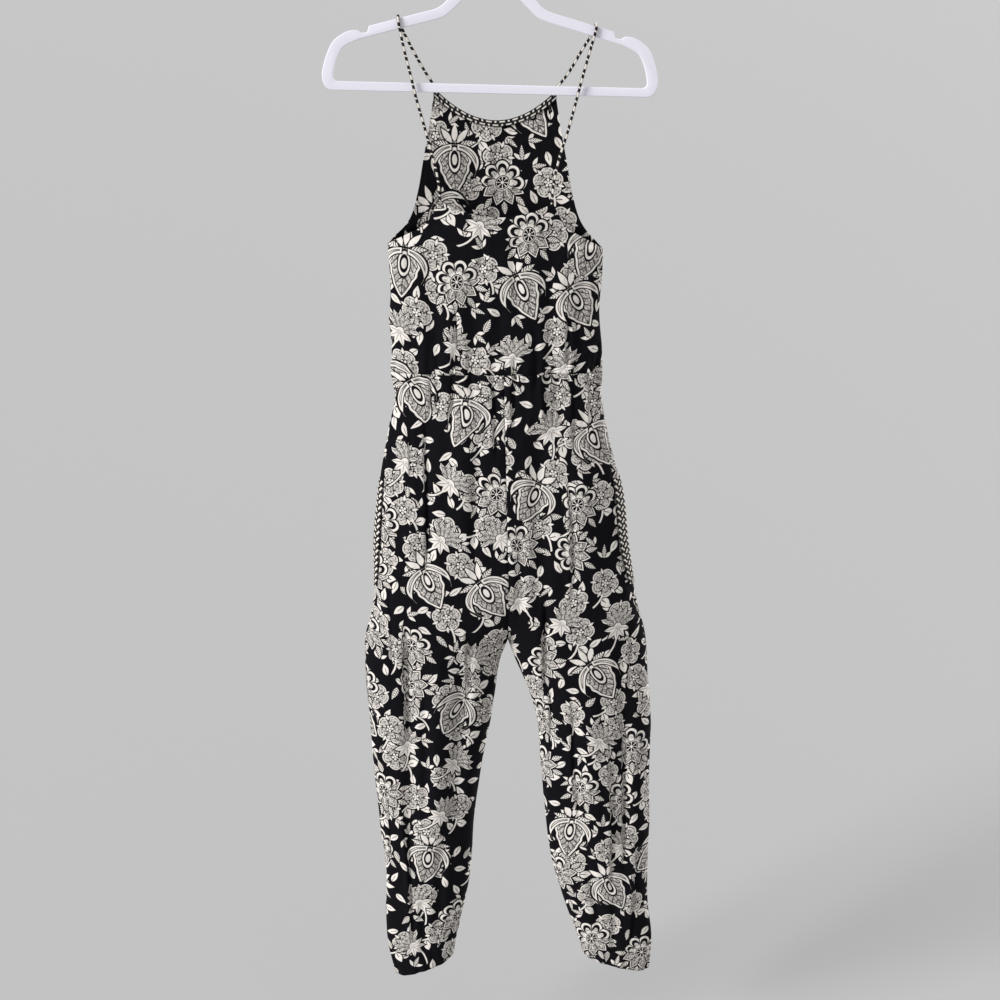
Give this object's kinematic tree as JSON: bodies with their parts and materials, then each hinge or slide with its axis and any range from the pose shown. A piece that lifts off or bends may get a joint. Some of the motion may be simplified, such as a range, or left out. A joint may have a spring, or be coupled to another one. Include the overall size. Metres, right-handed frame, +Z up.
{
  "type": "jumpsuit on a clothes hanger",
  "caption": "Sleeveless printed jumpsuit with a high round neck, low back, thin braid straps and narrow legs, hung on a flat plastic clothes hanger.",
  "frame": {"origin": "where the inside of the hook rests on its rail", "axes": "+Z up, -Y towards the viewer who sees the garment's low back, +X to that viewer's right"},
  "size_m": [0.4369, 0.0802, 1.4775],
  "materials": {
    "printed_cloth": "light woven viscose, near-black with off-white flowers and leaves",
    "braid": "woven braid in black and off-white",
    "hanger_plastic": "smooth white plastic, half gloss",
    "hook_wire": "polished wire"
  },
  "bodies": {
    "root": {"front_bodice": "printed_cloth", "back_bodice": "printed_cloth", "front_trouser_left": "printed_cloth", "front_trouser_right": "printed_cloth", "back_trouser_left": "printed_cloth", "back_trouser_right": "printed_cloth", "neck_trim": "braid", "pocket_trim_left": "braid", "pocket_trim_right": "braid", "strap_left": "braid", "strap_right": "braid", "hanger_frame": "hanger_plastic", "hanger_hook": "hook_wire"}
  },
  "joints": []
}
